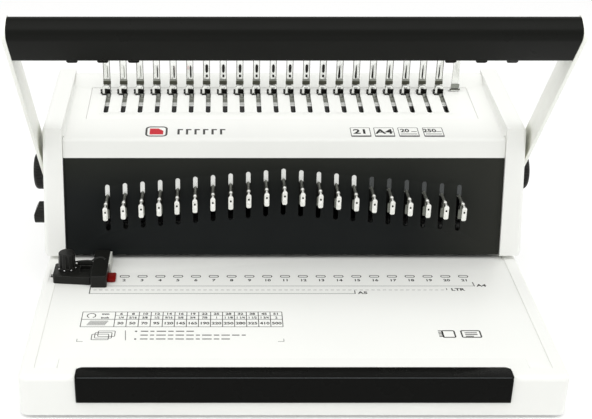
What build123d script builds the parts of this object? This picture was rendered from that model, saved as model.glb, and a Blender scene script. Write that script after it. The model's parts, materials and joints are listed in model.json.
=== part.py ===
"""Manual comb binding machine for A4 sheets, one STEP file for each sub-part.

Millimetres, +X to the user's right, +Y to the back, +Z up. The origin is on the ground, under the middle of the
machine's box. The lever stands at its upper stop, the hooks are closed and the chip drawer is shut.
"""

import os
from math import cos, pi, radians, sin, sqrt, tan

from build123d import *

# ---------------------------------------------------------------- driving dimensions
PITCH = 14.2875  # 9/16 inch between comb holes
HOLES = 21
MIDDLE = 11  # the hole on the centre line

FOOT_H = 3.0
BASE_HALF = 193.0
BASE_FRONT = -152.0
BASE_BACK = 154.0
DECK_Z = 35.0  # top of the base's border
TABLE_Z = 34.6  # top of the inset table plate
WALL = 2.5

THROAT_Z = 38.5  # underside of everything above the paper
BODY_FRONT = 18.0  # the panel's foot
BODY_BACK = 150.0
BODY_HALF = 178.0  # half the width of the panel and the top cover
LEAN = 12.0  # the front panel leans back, in degrees
PANEL_TOP = 117.9
LIP_TOP = 132.9
SLOPE = 5.8  # the top rises to the back, in degrees
RIM_Y = 132.5  # foot of the ramp up to the raised rear rim

PIVOT_Y = 73.5
PIVOT_Z = 89.0
LEVER_REST = 35.0  # forward of upright, in degrees
ARM_IN = 196.2  # inner face of an arm at the pivot
ARM_T = 3.0
ARM_W = 21.4
ARM_LONG = 202.0
SPLAY = 1.1  # the arms open outwards towards the grip, in degrees
BOLT_AT = 186.0  # the grip's bolts, from the pivot
GRIP_LOW = 170.0

PUNCH_Y = 46.0
PULL_TOP = 101.3  # the middle pull's height
V_STEP = 1.31  # each pull sits this much lower than its inner neighbour
PULL_OUT = 24.2  # how far a pull stands out of the panel
NECK_R = 1.2
SLEEVE_R = 1.85

MODULE = 2.0
PUNCH_R = 20.0  # pitch radius of the punch pinions
RAKE_R = 27.0  # pitch radius of the rake sectors
RACK_IN = 166.6  # the rake's racks and sectors, across
RACK_OUT = 170.4
BACKLASH = 0.35

SLOT_SHIFT = -4.3  # the comb slots' middle
FINGER_SHIFT = -5.9
FINGER_Y = 124.0
FINGER_H = 38.0
HOOK_Y = 118.5
SLOT_FRONT = 84.0
SLOT_BACK = 121.2
PLATE_FRONT = 72.6
PLATE_BACK = 130.4
PLATE_HALF = 162.5

DRAWER_HALF = 149.0
DRAWER_BACK = 58.0
DRAWER_FLOOR = 14.6

KNOB_X = -173.6  # the edge guide's clamp knob
KNOB_Y = -10.0
MARGIN_Y = 48.5
MARGIN_Z = 62.4
CRANK = 3.0

tan_lean = tan(radians(LEAN))
tan_slope = tan(radians(SLOPE))


def panel_y(z):
    """Front surface of the leaning panel at height z."""
    return BODY_FRONT + (z - THROAT_Z) * tan_lean


def top_z(y):
    """The top cover's surface at depth y."""
    return LIP_TOP + (y - panel_y(LIP_TOP)) * tan_slope


def hole_x(k, shift=0.0):
    """Across position of hole k, counted from 1 at the left."""
    return (k - MIDDLE) * PITCH + shift


def pull_z(k):
    """Top surface of pull k."""
    return PULL_TOP - V_STEP * abs(k - MIDDLE)


# ---------------------------------------------------------------- small tools
def block(x0, x1, y0, y1, z0, z1):
    """A box between two corners."""
    box = Box(x1 - x0, y1 - y0, z1 - z0)
    return Pos((x0 + x1) / 2, (y0 + y1) / 2, (z0 + z1) / 2) * box


def side_profile(points, x0, x1):
    """A (y, z) outline drawn out from x0 to x1."""
    face = Plane.YZ * make_face(Polyline(*points, close=True))
    return Pos(x0, 0, 0) * extrude(face, x1 - x0)


def rod_x(radius, x0, x1, y, z):
    """A round bar along X."""
    return Pos((x0 + x1) / 2, y, z) * Rot(0, 90, 0) * Cylinder(radius, x1 - x0)


def rod_y(radius, y0, y1, x, z):
    """A round bar along Y."""
    return Pos(x, (y0 + y1) / 2, z) * Rot(90, 0, 0) * Cylinder(radius, y1 - y0)


def rod_z(radius, z0, z1, x, y):
    """A round bar along Z."""
    return Pos(x, y, (z0 + z1) / 2) * Cylinder(radius, z1 - z0)


def mirrored(solid):
    """The same solid on the other side of the centre plane."""
    return mirror(solid, about=Plane.YZ)


def both(solid):
    """A solid and its mirror image as one group."""
    return Compound(children=[solid, mirrored(solid)])


def group(solids):
    """Separate solids that share one node."""
    return Compound(children=list(solids))


def turned(solid, degrees):
    """Turns a solid about the lever's axis; positive moves its top towards the user."""
    return Pos(0, PIVOT_Y, PIVOT_Z) * Rot(degrees, 0, 0) * Pos(0, -PIVOT_Y, -PIVOT_Z) * solid


def splayed(solid):
    """Opens an upright right-hand lever piece outwards about its foot."""
    return Pos(ARM_IN, 0, PIVOT_Z) * Rot(0, SPLAY, 0) * Pos(-ARM_IN, 0, -PIVOT_Z) * solid


def sloped(solid):
    """Moves a solid drawn level, with z = 0 as the cover's surface at y = 0, onto the sloping top."""
    return Pos(0, 0, top_z(0)) * Rot(SLOPE, 0, 0) * solid


def along(y):
    """Distance up the slope of the point above depth y."""
    return y / cos(radians(SLOPE))


# ---------------------------------------------------------------- base
def base_shell():
    """White lower housing: side walls, border deck, the drawer's mouth and its runners."""
    outer = block(-BASE_HALF, BASE_HALF, BASE_FRONT, BASE_BACK, FOOT_H, DECK_Z)
    outer = fillet(outer.edges().filter_by(Axis.Z), 7)
    outer = fillet(outer.edges().group_by(Axis.Z)[-1], 4)
    room = block(
        -BASE_HALF + 3, BASE_HALF - 3, BASE_FRONT + 3, BASE_BACK - 3, FOOT_H - 1, DECK_Z - WALL
    )
    room = fillet(room.edges().filter_by(Axis.Z), 4)
    shell = outer - room
    mouth = DRAWER_HALF + 3.6
    shell -= block(-mouth, mouth, BASE_FRONT - 1, -140.7, 14.0, DECK_Z + 1)
    # table recess with the two corner tongues of the plate, resting on a ledge
    ledge = block(-185, 185, -143, 44, DECK_Z - 5, DECK_Z - WALL)
    ledge -= block(-178.5, 178.5, -124.5, 45, 0, DECK_Z)
    ledge -= block(-162.5, 162.5, -150, -128.5, 0, DECK_Z)
    shell += ledge
    shell -= table_outline(0.25, DECK_Z - WALL, DECK_Z + 1)
    shell -= block(-171.2, 171.2, 37.7, 56.3, 0, DECK_Z + 1)
    # shallow seat and slot for the edge guide in the left border
    shell -= block(-188.4, -176, -23, -1.4, TABLE_Z - 0.1, DECK_Z + 1)
    shell -= block(-187.5, -150, KNOB_Y - 2.6, KNOB_Y + 2.6, 20, DECK_Z + 1)
    runner = block(DRAWER_HALF - 8, DRAWER_HALF + 6, BASE_FRONT + 2, 62, 11.5, 14.3)
    runner += block(DRAWER_HALF + 1, DRAWER_HALF + 4, BASE_FRONT + 14, 62, 14.3, 29)
    runner += block(DRAWER_HALF + 3, DRAWER_HALF + 5, BASE_FRONT + 2, 62, 4.5, 11.5)
    shell += runner
    shell += mirrored(runner)
    for x in (-165, 165):
        for y in (-125, 125):
            shell += rod_z(5, 4.5, DECK_Z - WALL, x, y)
            shell -= rod_z(1.6, 4.4, 20, x, y)
    return shell


def table_outline(grow, z0, z1):
    """The table plate's plan: a rectangle with a tongue at each front corner."""
    plan = block(-182 - grow, 182 + grow, -128 - grow, 37.6, z0, z1)
    for side in (-1, 1):
        inner = side * (166 - grow)
        outer = side * (182 + grow)
        plan += block(min(inner, outer), max(inner, outer), -140 - grow, -128, z0, z1)
    return plan


def table_plate():
    """White plate that the paper lies on, let into the base's border."""
    plate = table_outline(0, DECK_Z - WALL, TABLE_Z)
    plate = fillet(plate.edges().filter_by(Axis.Z).group_by(Axis.Y)[0], 1.2)
    plate -= block(-182.5, -150, KNOB_Y - 2.6, KNOB_Y + 2.6, 0, DECK_Z)
    return plate


def bottom_plate():
    """Steel sheet that closes the base from below."""
    x = BASE_HALF - 3.2
    plate = block(-x, x, BASE_FRONT + 3.2, BASE_BACK - 3.2, FOOT_H, 4.5)
    plate = fillet(plate.edges().filter_by(Axis.Z), 4)
    for side in (-165, 165):
        for y in (-125, 125):
            plate -= rod_z(1.7, 0, 6, side, y)
    return plate


def rubber_feet():
    """Four round feet with a sunk screw seat."""
    feet = []
    for x in (-165, 165):
        for y in (-125, 125):
            foot = Pos(x, y, FOOT_H / 2) * Cone(8, 9.5, FOOT_H)
            foot -= rod_z(3.4, -1, 1.6, x, y)
            foot -= rod_z(1.7, 0, 4, x, y)
            feet.append(foot)
    return group(feet)


def foot_screws():
    """Screws that hold feet and bottom plate to the base's pillars."""
    screws = []
    for x in (-165, 165):
        for y in (-125, 125):
            screws.append(rod_z(3.1, 0.5, 1.6, x, y) + rod_z(1.5, 1.6, 14, x, y))
    return screws


# ---------------------------------------------------------------- chip drawer
def drawer_tray():
    """Shallow tray under the die. Its rear lip stays below the pins' lowest point."""
    half = DRAWER_HALF
    front = BASE_FRONT + 2.2
    tray = block(-half, half, front, DRAWER_BACK, DRAWER_FLOOR, DRAWER_FLOOR + 1.5)
    for side in (-1, 1):
        x0 = min(side * half, side * (half - 1.5))
        tray += block(x0, x0 + 1.5, front, DRAWER_BACK, DRAWER_FLOOR, 29.5)
    tray += block(-half, half, front, front + 1.5, DRAWER_FLOOR, 29.5)
    tray += block(-half, half, DRAWER_BACK - 1.5, DRAWER_BACK, DRAWER_FLOOR, 18.4)
    return tray


def drawer_front():
    """Black bar that closes the drawer's mouth and laps over the table's front edge."""
    half = DRAWER_HALF + 3.2
    face = BASE_FRONT - 2
    bar = block(-half, half, face, BASE_FRONT + 2.2, 14.3, 36.2)
    bar += block(-half, half, BASE_FRONT + 2.2, -141, 30.2, 36.2)
    corners = bar.edges().filter_by(Axis.Z)
    bar = fillet(corners.group_by(Axis.Y)[-1], 4.5)
    front_edges = bar.faces().sort_by(Axis.Y)[0].edges()
    bar = fillet(front_edges, 1.4)
    return bar


# ---------------------------------------------------------------- punch unit, fixed parts
def die_plate():
    """Lower die: one rectangular hole under each pin."""
    plate = block(-171, 171, 37.9, 56, TABLE_Z - 4.2, TABLE_Z)
    for k in range(1, HOLES + 1):
        x = hole_x(k)
        plate -= block(x - 4.1, x + 4.1, PUNCH_Y - 1.6, PUNCH_Y + 1.6, 0, DECK_Z)
    return plate


def punch_guide():
    """Channel above the paper gap that keeps the pins upright."""
    low = block(-170.8, 170.8, 38, 54, THROAT_Z, THROAT_Z + 3)
    high = block(-170.8, 170.8, 38, 54, 56, 59)
    back = block(-170.8, 170.8, 52, 54, THROAT_Z + 3, 56)
    channel = low + high + back
    for k in range(1, HOLES + 1):
        x = hole_x(k)
        channel -= block(x - 4.1, x + 4.1, PUNCH_Y - 1.6, PUNCH_Y + 1.6, 30, 70)
    return channel


def side_frame():
    """Right steel side plate: carries the shaft, notched over the paper gap."""
    z0 = THROAT_Z
    outline = [
        (24, z0),
        (56.5, z0),
        (56.5, DECK_Z),
        (144, DECK_Z),
        (144, 136),
        (120, 133),
        (46, 126),
        (38, 118),
    ]
    plate = side_profile(outline, 171, 174)
    plate -= rod_x(7, 170, 175, PIVOT_Y, PIVOT_Z)
    plate -= rod_x(9, 170, 175, 118, 70)
    return plate + block(162, 171, 130, 144, DECK_Z, DECK_Z + 2.5)


def side_frames():
    """Both side plates."""
    return both(side_frame())


def shaft_bushes():
    """Two flanged bushes for the lever's shaft."""
    bush = rod_x(7, 171, 174, PIVOT_Y, PIVOT_Z) + rod_x(9, 174, 175.5, PIVOT_Y, PIVOT_Z)
    bush -= rod_x(5.05, 170, 177, PIVOT_Y, PIVOT_Z)
    return both(bush)


def tie_bar():
    """Bridge between the side plates that holds the posts and the springs; its ends step down under the rake's racks."""
    bar = block(-166.2, 166.2, 44, 54, 121.5, 126)
    web = block(163.3, 166.2, 44, 54, 104, 121.5)
    toe = block(166.2, 171, 44, 48.4, 104, 110)
    lug = block(122, 127, 54, 60, 121.5, 124)
    for part in (web, toe, lug):
        bar += part
        bar += mirrored(part)
    return bar


def guide_posts():
    """Two upright posts that the punch bar slides on."""
    return both(rod_z(2.5, 59, 121.5, 152.5, 48.4))


def spring_at(x, y, z0, z1):
    """A coil spring of eight-sided wire with its axis upright."""
    radius, wire, turns = 3.2, 0.65, 12
    path = Helix(pitch=(z1 - z0) / turns, height=z1 - z0, radius=radius)
    start = path @ 0
    section = Plane(origin=start, z_dir=path % 0) * RegularPolygon(wire, 8)
    return Pos(x, y, z0) * sweep(section, path=path, is_frenet=True)


def return_springs():
    """Two extension springs that lift the punch bar and the lever."""
    return both(spring_at(124.5, 58.0, 88.1, 120.9))


# ---------------------------------------------------------------- punch bar and pins
def involute_flank(pitch_r, tip_r, base_r, steps):
    """Points of one tooth flank, from the base circle out, as (radius, angle from the base)."""
    flank = []
    for i in range(steps + 1):
        r = base_r + (tip_r - base_r) * i / steps
        roll = sqrt((r / base_r) ** 2 - 1)
        flank.append((r, roll - atan_of(roll)))
    return flank


def atan_of(value):
    """Arc tangent in radians, from build123d's vectors."""
    return radians(Vector(1, 0, 0).get_angle(Vector(1, value, 0)))


def gear_teeth(teeth, first, count, x0, x1):
    """Involute teeth round the lever's axis. Angles run from +Y towards +Z, the first tooth's centre at first."""
    pitch_r = teeth * MODULE / 2
    base_r = pitch_r * cos(radians(20))
    tip_r = pitch_r + 0.9 * MODULE
    root_r = pitch_r - 1.25 * MODULE
    flank = involute_flank(pitch_r, tip_r, base_r, 4)
    roll = tan(radians(20))
    at_pitch = roll - radians(20)
    half = (pi * MODULE / 2 - BACKLASH) / 2 / pitch_r + at_pitch
    solid = None
    for n in range(count):
        middle = radians(first) + n * 2 * pi / teeth
        rise = [(root_r - 1, -half)] + [(r, -half + a) for r, a in flank]
        fall = [(r, -a) for r, a in reversed(rise)]
        points = []
        for r, a in rise + fall:
            points.append((PIVOT_Y + r * cos(middle + a), PIVOT_Z + r * sin(middle + a)))
        tooth = side_profile(points, x0, x1)
        solid = tooth if solid is None else solid + tooth
    return solid


def punch_pinions():
    """Two small gears on the shaft that drive the punch bar."""
    teeth = round(2 * PUNCH_R / MODULE)
    gear = rod_x(PUNCH_R - 1.25 * MODULE, 157, 163, PIVOT_Y, PIVOT_Z)
    gear += gear_teeth(teeth, 0, teeth, 157, 163)
    gear -= rod_x(5, 150, 170, PIVOT_Y, PIVOT_Z)
    return both(gear)


def rake_sectors():
    """Two toothed sectors on the shaft that drive the hook rake."""
    teeth = round(2 * RAKE_R / MODULE)
    step = 360 / teeth
    count = 8
    first = 90 + SLOPE - 6 * step
    root = RAKE_R - 1.25 * MODULE
    pie = [(PIVOT_Y, PIVOT_Z)]
    for n in range(5):
        a = radians(first - step / 2 + n * count * step / 4)
        pie.append((PIVOT_Y + 60 * cos(a), PIVOT_Z + 60 * sin(a)))
    wedge = side_profile(pie, RACK_IN, RACK_OUT)
    sector = rod_x(root, RACK_IN, RACK_OUT, PIVOT_Y, PIVOT_Z) & wedge
    sector += rod_x(10, RACK_IN, RACK_OUT, PIVOT_Y, PIVOT_Z)
    sector += gear_teeth(teeth, first, count, RACK_IN, RACK_OUT)
    sector -= rod_x(5, 150, 175, PIVOT_Y, PIVOT_Z)
    return both(sector)


def rack_points(length_before, length_after):
    """Outline of a rack along +u with its pitch line on v = 0, teeth towards -v and a gap centred on u = 0."""
    step = pi * MODULE
    add = 0.9 * MODULE
    ded = 1.25 * MODULE
    flank = tan(radians(20))
    half = (pi * MODULE / 2 - BACKLASH) / 2
    points = []
    first = -int(length_before / step)
    last = int(length_after / step)
    for n in range(first, last):
        middle = (n + 0.5) * step
        root = half + ded * flank
        tip = half - add * flank
        points += [(middle - root, ded), (middle - tip, -add), (middle + tip, -add), (middle + root, ded)]
    start = points[0][0] - 0.2
    end = points[-1][0] + 0.2
    return [(start, ded + 4.5), (start, ded)] + points + [(end, ded), (end, ded + 4.5)]


def punch_rack():
    """Upright rack for the right end of the punch bar, in mesh with its pinion."""
    outline = []
    for u, v in rack_points(8, 29):
        outline.append((PIVOT_Y - PUNCH_R - v, PIVOT_Z + u))
    return side_profile(outline, 157, 163)


def punch_bar():
    """Steel bar that pushes the pins down: a socket behind every pull, a boss on each post, a rack at each end."""
    bar = block(-157, 157, 48.4, 52.4, 80, 106)
    for k in range(1, HOLES + 1):
        bar -= rod_y(NECK_R + 0.15, 47, 51.6, hole_x(k), pull_z(k) - NECK_R)
    boss = block(148.5, 156.5, 44.4, 48.4, 80, 106)
    stud = rod_y(1.5, 52.4, 60, 124.5, 86)
    rack = punch_rack()
    for part in (boss, stud, rack):
        bar += part
        bar += mirrored(part)
    for x in (-152.5, 152.5):
        bar -= rod_z(2.56, 70, 110, x, 48.4)
    return bar


def punch_pins():
    """Twenty-one punches: a flat blade below, a round domed head above, cross-drilled for its pull."""
    pins = []
    drop = THROAT_Z + 0.7 - pull_z(1)
    for k in range(1, HOLES + 1):
        x, z = hole_x(k), pull_z(k)
        pin = block(x - 4, x + 4, PUNCH_Y - 1.5, PUNCH_Y + 1.5, z + drop, z - 7)
        pin += rod_z(2.3, z - 7, z + 5.7, x, PUNCH_Y)
        pin += Pos(x, PUNCH_Y, z + 5.7) * Sphere(2.3)
        pin -= rod_y(NECK_R + 0.15, 40, 50, x, z - NECK_R)
        pins.append(pin)
    return group(pins)


def pin_pull(k):
    """Chrome pull: a round neck with a thicker sleeve in the panel's slot, a ball, a finger tab and a detent leg."""
    x, z = hole_x(k), pull_z(k)
    face = panel_y(z) - PULL_OUT
    pull = rod_y(NECK_R, face + 0.8, 51.2, x, z - NECK_R)
    pull += rod_y(SLEEVE_R, panel_y(z) + 0.6, 43.2, x, z - NECK_R)
    pull += Pos(x, face + 8, z - NECK_R) * Sphere(1.8)
    tab = block(x - 1.9, x + 1.9, face, face + 1.6, z - 11.8, z - 0.2)
    pull += fillet(tab.edges().filter_by(Axis.Y), 1.3)
    pull += block(x - 0.5, x + 0.5, face + 13, face + 14, z - 9, z - 1.5)
    leg = block(x - 1.95, x + 1.95, face + 13, face + 14, z - 16.5, z - 8)
    pull += fillet(leg.edges().filter_by(Axis.Y), 0.9)
    return pull - rod_y(0.55, face - 1, face + 3, x, z - 4.4)


# ---------------------------------------------------------------- covers
def front_panel():
    """Black leaning panel with its inverted V of slots."""
    rise = (PANEL_TOP - THROAT_Z) / cos(radians(LEAN))
    plate = Pos(0, 1.25, rise / 2) * Box(2 * BODY_HALF - 0.4, 2.5, rise)
    for k in range(1, HOLES + 1):
        top = (109.4 - V_STEP * abs(k - MIDDLE) - THROAT_Z) / cos(radians(LEAN))
        low = top - 39.0
        slot = Pos(hole_x(k), 1.25, (top + low) / 2) * Rot(90, 0, 0) * extrude(
            SlotOverall(39.0, 4.0, rotation=90), 3, both=True
        )
        plate -= slot
    return Pos(0, BODY_FRONT, THROAT_Z) * Rot(-LEAN, 0, 0) * plate


def top_outline(inset):
    """The top cover's (y, z) outline, from the lip's foot round to the rear skirt."""
    t = inset
    rim_z = top_z(RIM_Y) + 6.2
    return [
        (panel_y(PANEL_TOP) + t, PANEL_TOP),
        (panel_y(LIP_TOP) + t, LIP_TOP - t),
        (RIM_Y + t, top_z(RIM_Y + t) - t),
        (RIM_Y + 10 + t, rim_z - t),
        (BODY_BACK - t, rim_z + 0.7 - t),
        (BODY_BACK - t, 128),
    ]


def top_cover():
    """White top: front lip, sloping top with the comb plate's rebate, raised rear rim."""
    outer = top_outline(0) + [(panel_y(PANEL_TOP) + 20, 100)]
    inner = top_outline(WALL) + [(panel_y(PANEL_TOP) + 20, 90)]
    half = BODY_HALF - 0.1
    skin = side_profile(outer, -half, half)
    lip = skin.edges().filter_by(Axis.X).filter_by_position(Axis.Z, LIP_TOP - 1, LIP_TOP + 1)
    skin = fillet(lip, 3.5)
    rim = skin.edges().filter_by(Axis.X).group_by(Axis.Z)[-1]
    skin = fillet(rim, 2.5)
    cover = skin - side_profile(inner, -half - 1, half + 1)
    cover -= block(-half - 1, half + 1, 60, 200, 0, 128)
    cover -= block(-half - 1, half + 1, 0, 200, 0, PANEL_TOP)
    plan = block(-PLATE_HALF, PLATE_HALF, along(PLATE_FRONT), along(PLATE_BACK), -1.2, 2)
    cover -= sloped(plan)
    window = block(
        -PLATE_HALF + 4, PLATE_HALF - 4, along(PLATE_FRONT) + 4, along(PLATE_BACK) - 1.5, -9, 2
    )
    return cover - sloped(window)


def comb_slot_plate():
    """Inset plate with one long slot for each hook and one short slit for each finger."""
    gap = 0.2
    plate = block(
        -PLATE_HALF + gap, PLATE_HALF - gap, along(PLATE_FRONT) + gap, along(PLATE_BACK) - gap, -1.2, -0.15
    )
    middle = along((SLOT_FRONT + SLOT_BACK) / 2)
    length = along(SLOT_BACK - SLOT_FRONT)
    for k in range(1, HOLES + 1):
        x = hole_x(k, SLOT_SHIFT)
        slot = Pos(x, middle, -2) * extrude(SlotOverall(length, 4.0, rotation=90), 4)
        plate -= slot
        plate -= block(x - 5.9, x + 2, along(HOOK_Y) - 2.6, along(HOOK_Y) + 1.6, -3, 1)
    plate = sloped(plate)
    for k in range(1, HOLES + 2):
        x = hole_x(k, FINGER_SHIFT)
        plate -= block(x - 5.2, x + 3.6, FINGER_Y - 1.1, FINGER_Y + 1.1, 130, 160)
    return plate


def comb_finger(k):
    """One fixed upright blade, wider at its foot, with a rounded tip."""
    x = hole_x(k, FINGER_SHIFT)
    z0 = top_z(FINGER_Y) - 8
    z1 = top_z(FINGER_Y) + FINGER_H
    outline = Polyline((x - 3.2, z0), (x + 3.2, z0), (x + 2.5, z1), (x - 2.5, z1), close=True)
    blade = extrude(Plane.XZ * make_face(outline), 0.8, both=True)
    blade = fillet(blade.edges().filter_by(Axis.Y).group_by(Axis.Z)[-1], 2.3)
    return Pos(0, FINGER_Y, 0) * blade


def comb_fingers():
    """The row of fixed fingers that hold the comb's spine, standing on one rail between the side plates."""
    z = top_z(FINGER_Y) - 8
    rail = block(-171, 171, FINGER_Y - 0.8, FINGER_Y + 4.2, z - 4, z)
    return group([rail] + [comb_finger(k) for k in range(1, HOLES + 2)])


def side_outline(inset):
    """A side cover's (y, z) outline."""
    t = inset
    return [
        (BODY_FRONT - 2.5 + t, THROAT_Z + t),
        (56.5 + t, THROAT_Z + t),
        (56.5 + t, DECK_Z + t),
        (BODY_BACK + 1.5 - t, DECK_Z + t),
        (BODY_BACK + 1.5 - t, 151.5 - t),
        (panel_y(142) - 2.5 + t, 142 - t),
    ]


def drafted(outline, x0, foot, crown):
    """The outline drawn out from x0, its outer face at foot in x low down and at crown high up."""
    solid = side_profile(outline, x0, foot + 1)
    far = foot + 20
    lean = (foot - crown) / (151.5 - DECK_Z)
    y0, y1, z0, z1 = 0, 170, 20, 170
    wedge = [(foot + lean * (DECK_Z - z0), z0), (far, z0), (far, z1), (foot - lean * (z1 - DECK_Z), z1)]
    face = Plane.XZ * make_face(Polyline(*wedge, close=True))
    cutter = Pos(0, y1, 0) * extrude(face, y1 - y0 + 5)
    return solid - cutter


def side_cover():
    """Right white side cover: a drafted, round-edged shell, open towards the inside."""
    outer = drafted(side_outline(0), BODY_HALF + 0.2, 195.6, 193.8)
    rim = outer.faces().sort_by(Axis.X)[-1].edges()
    outer = fillet(rim, 3.6)
    inner = drafted(side_outline(WALL), BODY_HALF - 1, 192.8, 191.0)
    cover = outer - inner
    return cover - rod_x(5.6, 180, 200, PIVOT_Y, PIVOT_Z)


def side_covers():
    """Both side covers; the left one has a second hole, for the margin knob's spindle."""
    right = side_cover()
    left = mirrored(right) - rod_x(3.3, -200, -180, MARGIN_Y, MARGIN_Z)
    return group([right, left])


def rear_cover():
    """White back panel with a shallow raised field."""
    cover = block(-BODY_HALF + 0.2, BODY_HALF - 0.2, BODY_BACK - WALL, BODY_BACK, DECK_Z, 127.8)
    field = block(-150, 150, BODY_BACK, BODY_BACK + 1.2, 48, 114)
    field = fillet(field.edges().filter_by(Axis.Y), 8)
    return cover + chamfer(field.faces().sort_by(Axis.Y)[-1].edges(), 0.8)


def rear_screws():
    """Four pan-head screws in the back panel."""
    screws = []
    for x in (-164, 164):
        for z in (46, 117):
            head = rod_y(3.4, BODY_BACK, BODY_BACK + 1.8, x, z)
            head = fillet(head.faces().sort_by(Axis.Y)[-1].edges(), 0.9)
            head -= Pos(x, BODY_BACK + 1.8, z) * Box(4.2, 1.4, 0.9)
            head -= Pos(x, BODY_BACK + 1.8, z) * Box(0.9, 1.4, 4.2)
            screws.append(head)
    return screws


def case_screws():
    """All screws of the housing."""
    return group(foot_screws() + rear_screws())


# ---------------------------------------------------------------- hook rake
def rake_rack():
    """Rack hanging from the plate's right wing, in mesh with its sector."""
    nose_y = PIVOT_Y - RAKE_R * sin(radians(SLOPE))
    nose_z = PIVOT_Z + RAKE_R * cos(radians(SLOPE))
    reach = (top_z(PIVOT_Y) - PIVOT_Z) * cos(radians(SLOPE)) - 4.3 - RAKE_R
    outline = []
    for u, v in rack_points(9, 35):
        if v > 5:
            v = reach
            u = max(u, 0)
        outline.append(
            (
                nose_y + u * cos(radians(SLOPE)) - v * sin(radians(SLOPE)),
                nose_z + u * sin(radians(SLOPE)) + v * cos(radians(SLOPE)),
            )
        )
    return side_profile(outline, RACK_IN, RACK_OUT)


def rake_tongue(k):
    """Bent-down tongue at the plate's front edge with a ribbed pad behind it, seen through slot k."""
    x = hole_x(k, SLOT_SHIFT)
    bend = along(102.6)
    outline = [(bend, -2.9), (bend, -4.4), (bend - 9.4, -9.2), (bend - 10.1, -7.8)]
    tongue = side_profile(outline, x - 2.6, x + 2.6)
    for n in range(5):
        start = bend + 1.2 + 2.1 * n
        tongue += block(x - 2.2, x + 2.2, start, start + 1.3, -3.0, -2.3)
    return tongue


def rake_plate():
    """Chrome plate under the slots with a tongue at each; its toothed wings run forward over the sectors."""
    low, high = -4.4, -2.9
    plate = block(-170, 170, along(102.4), along(119.8), low, high)
    for side in (-1, 1):
        inner, outer = side * (RACK_IN - 1.5), side * RACK_OUT
        plate += block(min(inner, outer), max(inner, outer), along(70), along(119.8), low, high)
    for k in range(1, HOLES + 1):
        plate += rake_tongue(k)
    rack = rake_rack()
    return sloped(plate) + rack + mirrored(rack)


def comb_hook(k):
    """One hook: a stem through its slot, turned over to the left and down again."""
    x = hole_x(k, SLOT_SHIFT)
    outline = Polyline(
        (x - 1.3, -2.9),
        (x + 1.3, -2.9),
        (x + 1.3, 7.7),
        (x - 5.2, 7.7),
        (x - 5.2, 0.6),
        (x - 3.2, 0.6),
        (x - 3.2, 5.2),
        (x - 1.3, 5.2),
        close=True,
    )
    hook = extrude(Plane.XZ * make_face(outline), 1.1, both=True)
    crown = hook.edges().filter_by(Axis.Y).group_by(Axis.Z)[-1]
    hook = fillet(crown, 1.6)
    return sloped(Pos(0, along(HOOK_Y), 0) * hook)


def comb_hooks():
    """The twenty-one hooks riveted to the rake."""
    return group(comb_hook(k) for k in range(1, HOLES + 1))


# ---------------------------------------------------------------- lever
def arm_blank(length, x0, x1):
    """Flat bar with a round foot and rounded top corners, standing upright on the pivot."""
    half = ARM_W / 2
    plate = block(x0, x1, PIVOT_Y - half, PIVOT_Y + half, PIVOT_Z, PIVOT_Z + length)
    plate = fillet(plate.edges().filter_by(Axis.X).group_by(Axis.Z)[-1], 7)
    return plate + rod_x(half, x0, x1, PIVOT_Y, PIVOT_Z)


def lever_arm():
    """Right lever arm."""
    arm = arm_blank(ARM_LONG, ARM_IN, ARM_IN + ARM_T)
    arm = chamfer(arm.faces().sort_by(Axis.X)[-1].edges(), 0.5)
    arm -= rod_x(2.6, 190, 210, PIVOT_Y, PIVOT_Z + BOLT_AT)
    arm = splayed(arm) - rod_x(5, 190, 210, PIVOT_Y, PIVOT_Z)
    return turned(arm, LEVER_REST)


def lever_arms():
    """Both lever arms."""
    return both(lever_arm())


def lever_grip():
    """Black grip bar between the splayed arms, with three finger ribs under each end."""
    y, z = PIVOT_Y, PIVOT_Z
    low, high = z + GRIP_LOW, z + ARM_LONG
    grip = block(-ARM_IN - 9, ARM_IN + 9, y - 10, y + 10, low, high)
    long_edges = grip.edges().filter_by(Axis.X)
    grip = fillet(long_edges.group_by(Axis.Z)[-1], 8)
    grip = fillet(grip.edges().filter_by(Axis.X).group_by(Axis.Z)[0], 3)
    for x in (-157, -135, -113, 113, 135, 157):
        rib = block(x - 4, x + 4, y - 9.6, y + 7, low - 1.2, low + 3)
        grip += chamfer(rib.edges().filter_by(Axis.Y).group_by(Axis.Z)[0], 1.1)
    beyond = splayed(block(ARM_IN - 0.1, ARM_IN + 30, y - 20, y + 20, low - 10, high + 10))
    grip -= beyond
    grip -= mirrored(beyond)
    grip -= rod_x(6.1, -ARM_IN - 9, ARM_IN + 9, y, z + BOLT_AT)
    return turned(grip, LEVER_REST)


def lever_crossbar():
    """Steel tube inside the grip, threaded at both ends."""
    tube = rod_x(6, -ARM_IN - 9, ARM_IN + 9, PIVOT_Y, PIVOT_Z + BOLT_AT)
    beyond = splayed(block(ARM_IN - 0.1, ARM_IN + 30, 40, 110, PIVOT_Z + 150, PIVOT_Z + 220))
    bore = splayed(rod_x(2.5, ARM_IN - 16, ARM_IN + 9, PIVOT_Y, PIVOT_Z + BOLT_AT))
    for cut in (beyond, bore):
        tube -= cut
        tube -= mirrored(cut)
    return turned(tube, LEVER_REST)


def crossbar_screws():
    """Round-head screws through the arms into the tube's ends."""
    outside = ARM_IN + ARM_T
    head = rod_x(5, outside, outside + 2.4, PIVOT_Y, PIVOT_Z + BOLT_AT)
    head = fillet(head.faces().sort_by(Axis.X)[-1].edges(), 1.8)
    head -= Pos(outside + 2.4, PIVOT_Y, PIVOT_Z + BOLT_AT) * Rot(0, 90, 0) * extrude(
        RegularPolygon(1.6, 6), 1.4, both=True
    )
    screw = head + rod_x(2.4, ARM_IN - 14, outside, PIVOT_Y, PIVOT_Z + BOLT_AT)
    return both(turned(splayed(screw), LEVER_REST))


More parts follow.
